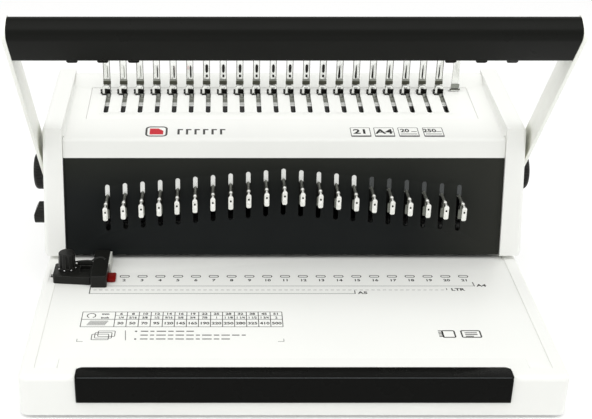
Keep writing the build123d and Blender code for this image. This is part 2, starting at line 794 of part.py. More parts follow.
def lever_shaft():
    """Shaft through both side plates, reduced at its ends for the knobs."""
    end = ARM_IN + ARM_T + 0.3
    shaft = rod_x(5, -end, end, PIVOT_Y, PIVOT_Z)
    return shaft + rod_x(4, -205.5, 205.5, PIVOT_Y, PIVOT_Z)


def lever_knob():
    """Right clamp knob: a knurled, domed disc that holds the arm on the shaft."""
    x0 = ARM_IN + ARM_T + 0.7  # clears the arm's outward lean
    radius, teeth = 15.6, 40
    knob = rod_x(radius, x0, x0 + 7.6, PIVOT_Y, PIVOT_Z)
    knob = fillet(knob.faces().sort_by(Axis.X)[-1].edges(), 3.5)
    for n in range(teeth):
        a = 2 * pi * n / teeth
        knob -= rod_x(0.6, x0 - 1, x0 + 10, PIVOT_Y + radius * cos(a), PIVOT_Z + radius * sin(a))
    return knob - rod_x(4, x0 - 1, 205.5, PIVOT_Y, PIVOT_Z)


def lever_knobs():
    """Both clamp knobs."""
    return both(lever_knob())


# ---------------------------------------------------------------- edge guide
def edge_guide():
    """Black sliding stop for the paper's left edge: a flat foot under the knob and a tall cheek beside the paper."""
    foot = side_free_plate(
        [(-184, -22.4), (-153, -25.5), (-153, -3), (-184, -2)], TABLE_Z + 0.1, TABLE_Z + 6.8
    )
    foot -= block(-163.5, -155, -17, -6, TABLE_Z + 3.6, 60)
    foot -= rod_z(2.2, 30, 60, KNOB_X, KNOB_Y)
    cheek = block(-153.5, -141, -29.2, 15, TABLE_Z + 0.1, TABLE_Z + 10)
    cheek = fillet(cheek.edges().filter_by(Axis.Z), 1.5)
    cheek = fillet(cheek.faces().sort_by(Axis.Z)[-1].edges(), 1.0)
    spine = block(-166, -152, -5.6, -3.2, TABLE_Z + 6, TABLE_Z + 9)
    return foot + cheek + spine


def side_free_plate(corners, z0, z1):
    """A flat plate from its plan corners, with softened upright edges."""
    plate = extrude(make_face(Polyline(*corners, close=True)), z1 - z0)
    plate = fillet(plate.edges().filter_by(Axis.Z), 2)
    return Pos(0, 0, z0) * plate


def edge_pointer():
    """Red tongue on the cheek that shows the sheet's edge."""
    tongue = block(-141, -134.6, -21, -9.5, TABLE_Z + 0.1, TABLE_Z + 2.6)
    return chamfer(tongue.faces().sort_by(Axis.X)[-1].edges().filter_by(Axis.Y), 0.8)


def guide_knob():
    """Lobed black clamp knob, narrower at the top."""
    z0 = TABLE_Z + 6.9
    knob = Pos(KNOB_X, KNOB_Y, z0 + 7.3) * Cone(7.3, 6.3, 14.6)
    knob = fillet(knob.edges().group_by(Axis.Z)[-1], 1.2)
    for n in range(8):
        a = radians(n * 45 + 10)
        knob -= rod_z(1.5, z0 + 2.5, z0 + 16, KNOB_X + 7.2 * cos(a), KNOB_Y + 7.2 * sin(a))
    return knob - rod_z(2, z0 - 1, z0 + 9, KNOB_X, KNOB_Y)


def guide_clamp_screw():
    """Steel stud in the knob with its clamping washer below the table."""
    stud = rod_z(2, 24.5, TABLE_Z + 15.9, KNOB_X, KNOB_Y)
    return stud + rod_z(4.6, 24.5, 29.5, KNOB_X, KNOB_Y)


# ---------------------------------------------------------------- margin control
def margin_knob():
    """Ribbed pointer knob on the left side that sets how deep the paper goes in."""
    knob = rod_x(9, -206, -196.4, MARGIN_Y, MARGIN_Z)
    for n in range(24):
        a = 2 * pi * n / 24
        knob -= rod_x(0.6, -210, -198.5, MARGIN_Y + 9.1 * cos(a), MARGIN_Z + 9.1 * sin(a))
    wedge = [(-207, MARGIN_Z + 1.5), (-206, MARGIN_Z + 1.5), (-201.8, MARGIN_Z + 10), (-207, MARGIN_Z + 10)]
    cut = extrude(Plane.XZ * make_face(Polyline(*wedge, close=True)), 12, both=True)
    knob -= Pos(0, MARGIN_Y, 0) * cut
    return knob - rod_x(3, -202, -190, MARGIN_Y, MARGIN_Z)


def margin_crank():
    """The knob's spindle with its crank disc and pin."""
    spindle = rod_x(3, -202, -179.5, MARGIN_Y, MARGIN_Z) + rod_x(6.5, -183, -179.5, MARGIN_Y, MARGIN_Z)
    return spindle + rod_x(2, -179.5, -175.4, MARGIN_Y, MARGIN_Z - CRANK)


def depth_stop():
    """Bar in the paper gap that the sheets' edges meet, with a slotted ear for the crank pin."""
    bar = block(-178, 168, 50.6, 52.8, DECK_Z + 0.1, THROAT_Z - 0.3)
    ear = block(-178, -176, 43, 54, DECK_Z + 0.1, 68)
    slot = block(-180, -175, MARGIN_Y - 2.1, MARGIN_Y + 2.1, MARGIN_Z - 7, MARGIN_Z + 1)
    ear -= block(-180, -175, 40, 46, 30, 44)
    return bar + (ear - slot)


# ---------------------------------------------------------------- write
NODES = {
    "base_shell": base_shell,
    "table_plate": table_plate,
    "bottom_plate": bottom_plate,
    "rubber_feet": rubber_feet,
    "case_screws": case_screws,
    "drawer_tray": drawer_tray,
    "drawer_front": drawer_front,
    "die_plate": die_plate,
    "punch_guide": punch_guide,
    "side_frames": side_frames,
    "shaft_bushes": shaft_bushes,
    "tie_bar": tie_bar,
    "guide_posts": guide_posts,
    "return_springs": return_springs,
    "punch_pinions": punch_pinions,
    "rake_sectors": rake_sectors,
    "punch_bar": punch_bar,
    "punch_pins": punch_pins,
    "front_panel": front_panel,
    "top_cover": top_cover,
    "comb_slot_plate": comb_slot_plate,
    "comb_fingers": comb_fingers,
    "side_covers": side_covers,
    "rear_cover": rear_cover,
    "rake_plate": rake_plate,
    "comb_hooks": comb_hooks,
    "lever_arms": lever_arms,
    "lever_grip": lever_grip,
    "lever_crossbar": lever_crossbar,
    "crossbar_screws": crossbar_screws,
    "lever_shaft": lever_shaft,
    "lever_knobs": lever_knobs,
    "edge_guide": edge_guide,
    "edge_pointer": edge_pointer,
    "guide_knob": guide_knob,
    "guide_clamp_screw": guide_clamp_screw,
    "margin_knob": margin_knob,
    "margin_crank": margin_crank,
    "depth_stop": depth_stop,
}
os.makedirs("parts", exist_ok=True)
for name, make in NODES.items():
    export_step(make(), f"parts/{name}.step")
for k in range(1, HOLES + 1):
    export_step(pin_pull(k), f"parts/pin_pull_{k:02d}.step")
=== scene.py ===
"""Looks of the comb binding machine: materials, print, small pieces, floor, light and camera."""

import json
from math import cos, pi, radians, sin, tan

import bmesh
import bpy
from mathutils import Matrix, Vector


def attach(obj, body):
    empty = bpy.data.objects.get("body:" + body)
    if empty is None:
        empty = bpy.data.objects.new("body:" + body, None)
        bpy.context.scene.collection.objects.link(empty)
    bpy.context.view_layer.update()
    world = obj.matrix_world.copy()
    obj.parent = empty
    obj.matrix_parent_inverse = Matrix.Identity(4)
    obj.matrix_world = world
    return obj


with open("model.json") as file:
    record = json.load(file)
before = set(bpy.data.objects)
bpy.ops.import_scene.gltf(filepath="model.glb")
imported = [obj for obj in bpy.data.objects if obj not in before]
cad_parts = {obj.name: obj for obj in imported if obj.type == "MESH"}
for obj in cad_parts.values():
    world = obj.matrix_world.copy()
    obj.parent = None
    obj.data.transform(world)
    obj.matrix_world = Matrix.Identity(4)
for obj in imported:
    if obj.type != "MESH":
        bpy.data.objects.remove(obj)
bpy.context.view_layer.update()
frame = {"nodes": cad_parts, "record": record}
NODES = frame["nodes"]

# Lengths are in millimetres and angles in degrees, except in materials, lights and the camera.
MM = 0.001  # in metres
PITCH = 14.2875
HOLES = 21
MIDDLE = 11  # the hole on the centre line
TABLE_Z = 34.6  # the table plate's upper face
TOP_SLOPE = 5.8
TOP_LIP = (38.06, 132.9)  # the top cover's front edge, depth and height
PANEL_LEAN = 12.0
PANEL_FOOT = (18.0, 38.5)  # the front panel's lower edge, depth and height
FINGER_SHIFT = -5.9  # from a hole to its finger
FINGER_FACE = 123.2  # depth of the fingers' front
FINGER_FOOT = 141.6  # height of the slot plate where the fingers stand
HOOK_SHIFT = -4.3  # from a hole to its hook
HOOK_DEPTH = 118.5
KNOB = (-173.6, -10.0)  # the edge guide's clamp knob


# ---------------------------------------------------------------- materials
MIX_FACTOR, MIX_A, MIX_B, MIX_RESULT = 0, 6, 7, 2  # sockets of a mix node for colours
# width of the edges that get the painted highlight
EDGE_WEAR_AND_SHINE_WIDTH = 0.0005
# how far the painted shade reaches in metal creases
METAL_CREASE = 0.001


class Maker:
    """Builds one node material step by step."""

    def __init__(self, name):
        self.material = bpy.data.materials.new(name)
        self.material.use_nodes = True
        self.tree = self.material.node_tree
        self.tree.nodes.clear()
        out = self.add("ShaderNodeOutputMaterial")
        self.shader = self.add("ShaderNodeBsdfPrincipled")
        self.link(self.shader, "BSDF", out, "Surface")
        self.coords = self.add("ShaderNodeTexCoord")

    def add(self, kind, **values):
        node = self.tree.nodes.new(kind)
        for key, value in values.items():
            setattr(node, key, value)
        return node

    def link(self, a, out, b, into):
        self.tree.links.new(a.outputs[out], b.inputs[into])

    def set(self, socket, value):
        self.shader.inputs[socket].default_value = value

    def noise(self, scale, detail, stretch=None):
        """Noise in the object's own metres; stretch squeezes it along an axis."""
        node = self.add("ShaderNodeTexNoise")
        node.inputs["Scale"].default_value = scale
        node.inputs["Detail"].default_value = detail
        source = self.coords, "Object"
        if stretch:
            mapping = self.add("ShaderNodeMapping")
            mapping.inputs["Scale"].default_value = stretch
            self.link(*source, mapping, "Vector")
            source = mapping, "Vector"
        self.link(*source, node, "Vector")
        return node

    def spread(self, node, out, low, high, start=0.3, end=0.7):
        """Maps start..end to low..high."""
        ramp = self.add("ShaderNodeMapRange")
        ramp.inputs["From Min"].default_value = start
        ramp.inputs["From Max"].default_value = end
        ramp.inputs["To Min"].default_value = low
        ramp.inputs["To Max"].default_value = high
        self.link(node, out, ramp, "Value")
        return ramp

    def mix(self, factor, a, b, out="Result"):
        """A colour between a and b; either may be another mix node."""
        node = self.add("ShaderNodeMix", data_type="RGBA")
        self.link(factor, out, node, MIX_FACTOR)
        for socket, value in ((MIX_A, a), (MIX_B, b)):
            if isinstance(value, tuple):
                node.inputs[socket].default_value = (*value, 1)
            else:
                self.link(value, MIX_RESULT, node, socket)
        return node

    def bump(self, node, strength, distance, before=None):
        bump = self.add("ShaderNodeBump")
        bump.inputs["Strength"].default_value = strength
        bump.inputs["Distance"].default_value = distance
        self.link(node, "Fac", bump, "Height")
        if before:
            self.link(before, "Normal", bump, "Normal")
        return bump

    def crease(self, distance):
        """Falls from 1 in the open to 0 in a seam or corner, where shade is painted."""
        node = self.add("ShaderNodeAmbientOcclusion", samples=4)
        node.inputs["Distance"].default_value = distance
        return self.spread(node, "AO", 0.0, 1.0, 0.15, 0.75)

    def edges(self):
        """1 on edges, 0 on flats; it places the paler edges, a painted highlight speckled like
        wear.
        """
        bevel = self.add("ShaderNodeBevel", samples=4)
        bevel.inputs["Radius"].default_value = EDGE_WEAR_AND_SHINE_WIDTH
        geometry = self.add("ShaderNodeNewGeometry")
        dot = self.add("ShaderNodeVectorMath", operation="DOT_PRODUCT")
        self.link(bevel, "Normal", dot, 0)
        self.link(geometry, "Normal", dot, 1)
        return self.spread(dot, "Value", 1.0, 0.0, 0.72, 0.985)

    def place(self, axis, start, end):
        """Goes from 0 to 1 between two places along an axis of the object."""
        split = self.add("ShaderNodeSeparateXYZ")
        self.link(self.coords, "Object", split, "Vector")
        return self.spread(split, axis, 0.0, 1.0, start, end)

    def flank(self):
        """0 on faces that look forward or up, 1 on faces that look sideways, which get a painted
        darker tone.
        """
        split = self.add("ShaderNodeSeparateXYZ")
        self.link(self.coords, "Normal", split, "Vector")
        size = self.add("ShaderNodeMath", operation="ABSOLUTE")
        self.link(split, "X", size, 0)
        return self.spread(size, "Value", 0.0, 1.0, 0.35, 0.8)

    def fade(self, base, bands):
        """Turns to each band's tone between two places along its axis."""
        for axis, start, end, tone in bands:
            base = self.mix(self.place(axis, start, end), base, tone)
        return base

    def paint(self, base):
        self.link(base, MIX_RESULT, self.shader, "Base Color")

    def roughen(self, node, low, high):
        self.link(self.spread(node, "Fac", low, high), "Result", self.shader, "Roughness")

    def relief(self, bump):
        self.link(bump, "Normal", self.shader, "Normal")


def plastic(name, color, crease_shade, rough=(0.3, 0.42), spec=0.4, grain=0.05, scale=1400.0, edge=None,
            cloud=0.5, reach=0.0016, bands=()):
    """Moulded or painted: tone drift, grain, roughness patches, painted shade in creases, paler
    edges as a painted highlight speckled like wear.
    """
    m = Maker(name)
    drift = m.noise(9.0, 2.0)
    dusk = tuple(c * (1 - 0.07 * cloud) for c in color)
    base = m.mix(m.spread(drift, "Fac", 0.0, 1.0), color, dusk)
    base = m.fade(base, bands)
    # painted shade: the colour darkens in creases and corners, found by ambient occlusion
    base = m.mix(m.crease(reach), crease_shade, base)
    # paler edges: a painted highlight along the edges, speckled like wear
    if edge:
        speck = m.noise(260.0, 4.0)
        worn_and_lit = m.add("ShaderNodeMath", operation="MULTIPLY")
        m.link(m.edges(), "Result", worn_and_lit, 0)
        m.link(m.spread(speck, "Fac", 0.35, 1.0, 0.35, 0.6), "Result", worn_and_lit, 1)
        base = m.mix(worn_and_lit, base, edge, out="Value")
    m.paint(base)
    m.roughen(m.noise(38.0, 5.0), *rough)
    fine = m.noise(scale, 2.0)
    wave = m.noise(24.0, 1.0)
    m.relief(m.bump(fine, grain, 0.0002, before=m.bump(wave, 0.06, 0.0005)))
    m.set("Specular IOR Level", spec)
    return m.material


def metal(name, color, rough=(0.1, 0.2), brush=(900.0, 900.0, 60.0), brush_strength=0.04,
          full=1.0, side=None, bands=()):
    """Plated or ground steel: brushed lines, roughness patches, a patchy film, painted shade in
    creases and on faces that look sideways.
    """
    m = Maker(name)
    stain_and_shade = tuple(c * 0.55 for c in color)
    film = m.noise(120.0, 4.0)
    base = m.mix(m.spread(film, "Fac", 0.0, 0.3, 0.35, 0.75), color, stain_and_shade)
    # painted shade: faces that look sideways turn to the side colour
    if side:
        base = m.mix(m.flank(), base, side)
    base = m.fade(base, bands)
    # painted shade in creases and corners, darker than the film
    base = m.mix(m.crease(METAL_CREASE), tuple(c * 0.4 for c in stain_and_shade), base)
    m.paint(base)
    m.roughen(m.noise(400.0, 3.0), *rough)
    m.relief(m.bump(m.noise(1.0, 3.0, stretch=brush), brush_strength, 0.0001))
    m.set("Metallic", full)
    return m.material


def ink(name, color):
    """Screen-printed ink: slightly uneven cover and sheen."""
    m = Maker(name)
    blot = m.noise(1800.0, 3.0)
    thin = tuple(c * 1.6 + 0.004 for c in color)
    m.paint(m.mix(m.spread(blot, "Fac", 0.0, 1.0, 0.35, 0.75), color, thin))
    m.roughen(blot, 0.35, 0.6)
    m.relief(m.bump(blot, 0.1, 0.00005))
    m.set("Specular IOR Level", 0.2)
    return m.material


WHITE = (0.865, 0.872, 0.838)
# colours of the painted shade in creases, on white parts and on black parts
WHITE_CREASE_SHADE = (0.74, 0.745, 0.70)
DARK_CREASE_SHADE = (0.003, 0.003, 0.003)
# painted light on the black panel: lighter towards its top and towards its right
PANEL_PAINTED_LIGHT = (
    ("Z", 0.085, 0.118, (0.0165, 0.0180, 0.0145)),
    ("X", 0.10, 0.19, (0.026, 0.027, 0.022)),
)
PULL_SHADE = (("Y", 0.0150, 0.0162, (0.16, 0.165, 0.145)),)
RAKE_SHADE = (
    ("Y", 0.1065, 0.1072, (0.30, 0.31, 0.27)),
    ("Y", 0.1024, 0.1018, (0.012, 0.012, 0.011)),
)
MAT = {
    "base_white": plastic("white_shell", WHITE, WHITE_CREASE_SHADE, (0.36, 0.48), 0.3),
    "table_white": plastic(
        "white_table", (0.87, 0.877, 0.843), WHITE_CREASE_SHADE, (0.34, 0.44), 0.3, grain=0.03),
    "cover_white": plastic("white_cover", WHITE, WHITE_CREASE_SHADE, (0.34, 0.46), 0.3),
    # the arms get painted olive shade over a wide reach in their corners
    "arm_white": plastic(
        "white_paint", (0.93, 0.94, 0.885), (0.58, 0.59, 0.48), (0.30, 0.40), 0.35,
        grain=0.08, scale=700.0, reach=0.012),
    "panel_black": plastic(
        "black_powder_coat", (0.0085, 0.0102, 0.0102), DARK_CREASE_SHADE, (0.5, 0.64), 0.12,
        grain=0.5, scale=2600.0, edge=(0.04, 0.04, 0.036), cloud=3.0, bands=PANEL_PAINTED_LIGHT),
    "gloss_black": plastic(
        "black_gloss_plastic", (0.0040, 0.0041, 0.0036), DARK_CREASE_SHADE, (0.22, 0.34), 0.05,
        grain=0.02, edge=(0.05, 0.05, 0.05)),
    "grip_black": plastic(
        "black_grip_plastic", (0.0080, 0.0084, 0.0072), DARK_CREASE_SHADE, (0.26, 0.38), 0.065,
        grain=0.08, scale=1800.0),
    "knob_black": plastic(
        "black_knob_plastic", (0.009, 0.009, 0.008), DARK_CREASE_SHADE, (0.34, 0.46), 0.2,
        grain=0.12, edge=(0.10, 0.10, 0.09)),
    "guide_black": plastic(
        "black_guide_plastic", (0.0085, 0.0088, 0.0075), DARK_CREASE_SHADE, (0.30, 0.44), 0.2,
        grain=0.14, edge=(0.12, 0.12, 0.11)),
    "tray_black": plastic(
        "black_tray_plastic", (0.010, 0.010, 0.010), DARK_CREASE_SHADE, (0.4, 0.5), 0.2, grain=0.2),
    "pointer_red": plastic(
        "red_pointer", (0.20, 0.0045, 0.0035), (0.08, 0.0, 0.0), (0.26, 0.38), 0.15),
    "foot_rubber": plastic(
        "black_rubber", (0.02, 0.02, 0.02), DARK_CREASE_SHADE, (0.7, 0.85), 0.2, grain=0.4, scale=900.0),
    "zinc_sheet": metal(
        "zinc_sheet", (0.62, 0.63, 0.64), (0.3, 0.45), brush=(40.0, 900.0, 900.0)),
    "screw_steel": metal(
        "screw_steel", (0.66, 0.66, 0.67), (0.2, 0.32), brush=(700.0, 700.0, 700.0)),
    "die_steel": metal(
        "die_steel", (0.42, 0.42, 0.42), (0.25, 0.4), brush=(30.0, 1200.0, 1200.0)),
    "frame_steel": metal(
        "frame_steel", (0.3, 0.3, 0.3), (0.35, 0.5), brush=(60.0, 900.0, 900.0)),
    "bronze": metal("bronze", (0.55, 0.38, 0.18), (0.22, 0.34)),
    "bright_steel": metal(
        "bright_steel", (0.86, 0.86, 0.84), (0.16, 0.28), brush=(900.0, 60.0, 60.0), full=0.6),
    "spring_steel": metal("spring_steel", (0.5, 0.49, 0.47), (0.25, 0.35)),
    "chrome_pin": metal(
        "black_oxide_pin", (0.030, 0.030, 0.029), (0.3, 0.4), brush_strength=0.02),
    "chrome_pull": metal(
        "chrome_pull", (0.93, 0.93, 0.89), (0.12, 0.22), brush_strength=0.03, full=0.45,
        side=(0.16, 0.16, 0.13), bands=PULL_SHADE),
    "chrome_comb": metal(
        "nickel_comb", (0.92, 0.93, 0.90), (0.06, 0.14), brush=(900.0, 900.0, 50.0),
        brush_strength=0.03, full=0.6, side=(0.10, 0.105, 0.075)),
}
SHADE = plastic("olive_shade", (0.07, 0.07, 0.05), DARK_CREASE_SHADE, (0.3, 0.4), 0.2)
# dark steel for painted reflections on the fingers, painted shade on the hooks, and the pulls'
# eyes
PAINTED_DARK = metal("painted_dark_steel", (0.022, 0.022, 0.020), (0.12, 0.2))
MIST = metal("grey_reflection", (0.30, 0.31, 0.28), (0.12, 0.2))
RAKE = metal(
    "nickel_rake", (0.90, 0.91, 0.88), (0.14, 0.24), brush=(50.0, 900.0, 900.0),
    full=0.15, bands=RAKE_SHADE)
# a lit and a shaded copy of one chrome for the pulls' heads: painted highlight and painted shade
PULL_PAINTED_LIT = metal(
    "pull_head_painted_highlight", (0.90, 0.91, 0.88), (0.12, 0.22), brush_strength=0.03,
    full=0.4, side=(0.25, 0.25, 0.22))
PULL_PAINTED_SHADE = metal(
    "pull_head_painted_shade", (0.075, 0.080, 0.080), (0.12, 0.22), brush_strength=0.03, full=0.6)
EDGE_SHINE = plastic("edge_shine", (0.045, 0.050, 0.052), DARK_CREASE_SHADE, (0.2, 0.3), 0.3, grain=0.1)
# pale grey for the guide cheek's right face: a painted reflection of the white table
PAINTED_SIDE_REFLECTION = plastic("painted_side_reflection", (0.52, 0.53, 0.49), (0.4, 0.4, 0.37))
INK = ink("print_ink_dark", (0.010, 0.010, 0.009))
INK_GREY = ink("print_ink_grey", (0.05, 0.05, 0.047))
INK_RED = ink("print_ink_red", (0.45, 0.02, 0.03))


# ---------------------------------------------------------------- the CAD nodes' looks
CRISP = 32.0
WELD_DISTANCE = 2e-6  # metres
SOFT = {  # how far a node's edges are rounded
    "comb_fingers": 0.45,
    "comb_hooks": 0.3,
    "lever_arms": 0.3,
    "drawer_front": 0.5,
    "front_panel": 0.15,
    "edge_guide": 0.35,
    "edge_pointer": 0.2,
    "comb_slot_plate": 0.1,
    "table_plate": 0.2,
}
PIN_PULL_SOFT = 0.22


def crisp(obj, angle):
    """Smooth shading that breaks at edges sharper than the angle."""
    obj.data.polygons.foreach_set("use_smooth", [True] * len(obj.data.polygons))
    split = obj.modifiers.new("crisp", "EDGE_SPLIT")
    split.split_angle = radians(angle)
    split.use_edge_sharp = False


def dress(obj, material, bevel):
    """Gives a CAD node its material, smooth curves, and softly broken edges."""
    mesh = obj.data
    mesh.materials.clear()
    mesh.materials.append(material)
    custom = mesh.attributes.get("custom_normal")
    if custom:
        mesh.attributes.remove(custom)
    weld = obj.modifiers.new("weld", "WELD")
    weld.merge_threshold = WELD_DISTANCE
    if bevel:
        soft = obj.modifiers.new("soft_edges", "BEVEL")
        soft.width = bevel * MM
        soft.segments = 2
        soft.limit_method = "ANGLE"
        soft.angle_limit = radians(50)
        soft.use_clamp_overlap = True
    crisp(obj, CRISP)


for part in frame["record"]["subparts"]:
    name = part["node"]
    look = RAKE if name == "rake_plate" else MAT[part["material_slot"]]
    dress(NODES[name], look, PIN_PULL_SOFT if name.startswith("pin_pull") else SOFT.get(name))


# ---------------------------------------------------------------- mesh tools
def piece(name, bm, material, body, smooth=CRISP):
    """Turns a bmesh in millimetres into a piece that rides on a body."""
    bmesh.ops.recalc_face_normals(bm, faces=bm.faces)
    bmesh.ops.scale(bm, vec=(MM, MM, MM), verts=bm.verts)
    mesh = bpy.data.meshes.new(name)
    bm.to_mesh(mesh)
    bm.free()
    mesh.materials.append(material)
    obj = bpy.data.objects.new(name, mesh)
    bpy.context.scene.collection.objects.link(obj)
    if smooth:
        crisp(obj, smooth)
    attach(obj, body)


def hole_x(k):
    return (k - MIDDLE) * PITCH


def upright(u, v, h):
    """A point by its x, y and z."""
    return Vector((u, v, h))


def on_table(u, v, h):
    return Vector((u, v, TABLE_Z + h))


def on_top(u, v, h):
    """A point on the sloping top: u across, v up the slope from the front edge."""
    c, s = cos(radians(TOP_SLOPE)), sin(radians(TOP_SLOPE))
    return Vector((u, TOP_LIP[0] + v * c - h * s, TOP_LIP[1] + v * s + h * c))


def on_panel(u, v, h):
    """A point on the leaning panel: u across, v up the panel, h out of its face."""
    c, s = cos(radians(PANEL_LEAN)), sin(radians(PANEL_LEAN))
    return Vector((u, PANEL_FOOT[0] + v * s - h * c, PANEL_FOOT[1] + v * c + h * s))


def facing(depth):
    """Places points on an upright plane: u across, v up, h towards the front."""
    return lambda u, v, h: Vector((u, depth - h, v))


def sideways(side):
    """Places points by depth, height and distance to the left (-1) or right (1)."""
    return lambda y, z, h: Vector((side * h, y, z))


def prism(bm, outline, place, low, high):
    """Closed prism over a flat outline; place turns (u, v, height) into a point."""
    bottom = [bm.verts.new(place(u, v, low)) for u, v in outline]
    top = [bm.verts.new(place(u, v, high)) for u, v in outline]
    bm.faces.new(list(reversed(bottom)))
    bm.faces.new(top)
    for i in range(len(outline)):
        j = (i + 1) % len(outline)
        bm.faces.new((bottom[i], bottom[j], top[j], top[i]))


def box(bm, u, v, h, place=upright):
    """A block between pairs of limits."""
    (u0, u1), (v0, v1) = u, v
    prism(bm, [(u0, v0), (u1, v0), (u1, v1), (u0, v1)], place, *h)


def arc(u, v, wide, tall, steps, turn=2 * pi):
    """Points round an ellipse from its right end; less than a full turn keeps its last point."""
    count = steps + (turn < 2 * pi)
    angles = [turn * i / steps for i in range(count)]
    return [(u + wide * cos(a), v + tall * sin(a)) for a in angles]


def rounded(bm, width, segments=2):
    """Breaks every sharp edge of the mesh so far."""
    sharp = [e for e in bm.edges if len(e.link_faces) == 2 and e.calc_face_angle() > radians(30)]
    bmesh.ops.bevel(
        bm, geom=sharp, offset=width, segments=segments, affect="EDGES", clamp_overlap=True)


class Artwork:
    """Flat printed marks, each a thin closed solid on a surface."""

    LOW, HIGH = -0.01, 0.03
    FIGURE = 0.69  # a figure's height in a font of size 1

    def __init__(self, place):
        self.bm = bmesh.new()
        self.place = place

    def area(self, outline):
        prism(self.bm, outline, self.place, self.LOW, self.HIGH)

    def bar(self, u0, u1, v0, v1):
        self.area([(u0, v0), (u1, v0), (u1, v1), (u0, v1)])

    def line(self, a, b, width):
        d = Vector((b[0] - a[0], b[1] - a[1])).normalized() * width / 2
        n = Vector((-d.y, d.x))
        a, b = Vector(a), Vector(b)
        self.area([tuple(a - n - d), tuple(b - n + d), tuple(b + n + d), tuple(a + n - d)])

    def frame(self, u0, u1, v0, v1, width, radius):
        """Outline of a box with rounded corners; its radius is larger than its width."""
        outer, inner = [], []
        for u, v, start in ((u1, v1, 0), (u0, v1, 90), (u0, v0, 180), (u1, v0, 270)):
            cu = u - radius * (1 if u == u1 else -1)
            cv = v - radius * (1 if v == v1 else -1)
            for i in range(5):
                a = radians(start + i * 22.5)
                for ring, r in ((outer, radius), (inner, radius - width)):
                    ring.append((cu + r * cos(a), cv + r * sin(a)))
        for i in range(len(outer)):
            j = (i + 1) % len(outer)
            self.area([outer[i], outer[j], inner[j], inner[i]])

    def disc(self, u, v, radius):
        self.area(arc(u, v, radius, radius, 20))

    def text(self, body, u, v, height, stretch, weight, align="CENTER"):
        """Figures with their foot on v."""
        curve = bpy.data.curves.new("figures", "FONT")
        curve.body = body
        curve.size = height / self.FIGURE
        curve.align_x = align
        curve.resolution_u = 3
        curve.offset = weight
        holder = bpy.data.objects.new("figures", curve)
        bpy.context.scene.collection.objects.link(holder)
        bpy.context.view_layer.update()
        graph = bpy.context.evaluated_depsgraph_get()
        flat = bpy.data.meshes.new_from_object(holder.evaluated_get(graph))
        bpy.data.objects.remove(holder)
        bpy.data.curves.remove(curve)
        glyph = bmesh.new()
        glyph.from_mesh(flat)
        bpy.data.meshes.remove(flat)
        bmesh.ops.remove_doubles(glyph, verts=glyph.verts, dist=1e-5)
        made = {}
        for vert in glyph.verts:
            x, y = u + vert.co.x * stretch, v + vert.co.y
            made[vert.index] = (self.bm.verts.new(self.place(x, y, self.LOW)),
                                self.bm.verts.new(self.place(x, y, self.HIGH)))
        for face in glyph.faces:
            ids = [vert.index for vert in face.verts]
            self.bm.faces.new([made[i][1] for i in ids])
            self.bm.faces.new([made[i][0] for i in reversed(ids)])
        for edge in glyph.edges:
            if len(edge.link_faces) == 1:
                a, b = (made[vert.index] for vert in edge.verts)
                self.bm.faces.new((a[0], b[0], b[1], a[1]))
        glyph.free()

    def done(self, name, material, slot):
        piece(name, self.bm, material, "housing", smooth=0)


# ---------------------------------------------------------------- print on the table
BOLD = 0.14  # how far the small print's strokes are thickened
MARK_SHIFT = 0.7  # from a hole to its printed mark

marks, figures = Artwork(on_table), Artwork(on_table)
for k in range(2, HOLES + 1):
    x = hole_x(k) + MARK_SHIFT
    marks.frame(x - 4.0, x + 4.0, -13.1, -9.6, width=0.75, radius=1.4)
    figures.text(str(k), x, -19.0, 3.2, 1.15, BOLD)
marks.done("print_hole_marks", INK, "table_white")
figures.done("print_hole_numbers", INK, "table_white")

FORMAT_LINES = (  # from, to, width
    ((-153.6, -26.5), (149.6, -26.5), 0.45),
    ((149.6, -26.7), (149.2, -20.8), 0.75),
    ((-153.6, -38.2), (54.2, -38.2), 0.45),
    ((54.2, -38.2), (54.2, -33.8), 0.75),
    ((-153.7, -26.6), (-153.6, -38.2), 0.75),
    ((126.8, -32.6), (126.8, -30.4), 0.6),
)
FORMATS = (("A4", 151.4, -27.4, 1.25), ("LTR", 130.2, -33.6, 1.2), ("A5", 56.4, -38.6, 1.25))
DASHES = (-151.0, 125.5)
DASH, DASH_STEP = 2.6, 4.55

lines = Artwork(on_table)
for start, end, width in FORMAT_LINES:
    lines.line(start, end, width)
x = DASHES[0]
while x < DASHES[1]:
    lines.bar(x, x + DASH, -32.85, -32.45)
    x += DASH_STEP
lines.done("print_format_lines", INK_GREY, "table_white")
formats = Artwork(on_table)
for label, u, v, stretch in FORMATS:
    formats.text(label, u, v, 3.6, stretch, BOLD, align="LEFT")
formats.done("print_format_names", INK, "table_white")

# the size table: comb size in two units over the number of sheets
SIZES = ("6", "8", "10", "12", "14", "16", "19", "22", "25", "28", "32", "38", "45", "51")
INCHES = ("1/4", "5/16", "3/8", "1/2", "9/16", "5/8", "3/4", "7/8", "1", "1 1/8", "1 1/4",
          "1 1/2", "1 3/4", "2")
SHEETS = ("30", "50", "70", "95", "120", "145", "165", "190", "220", "250", "280", "325",
          "410", "500")
LEFT, SPLIT, RIGHT = -155.6, -130.6, -4.5  # the table's ends and the headings' end
ROWS = (-65.3, -70.5, -75.8, -86.2)
COLUMN = (RIGHT - SPLIT) / len(SIZES)
THICK, THIN = 0.3, 0.18  # half the width of a rule
ENTRIES = (  # texts, foot, height, stretch
    (SIZES, ROWS[1] + 1.2, 2.7, 1.1),
    (INCHES, ROWS[2] + 1.2, 2.6, 0.85),
    (SHEETS, ROWS[3] + 3.4, 3.2, 1.05),
)
RING_CENTRE, RING_RADIUS = (LEFT + 7, -70.6), 3.2

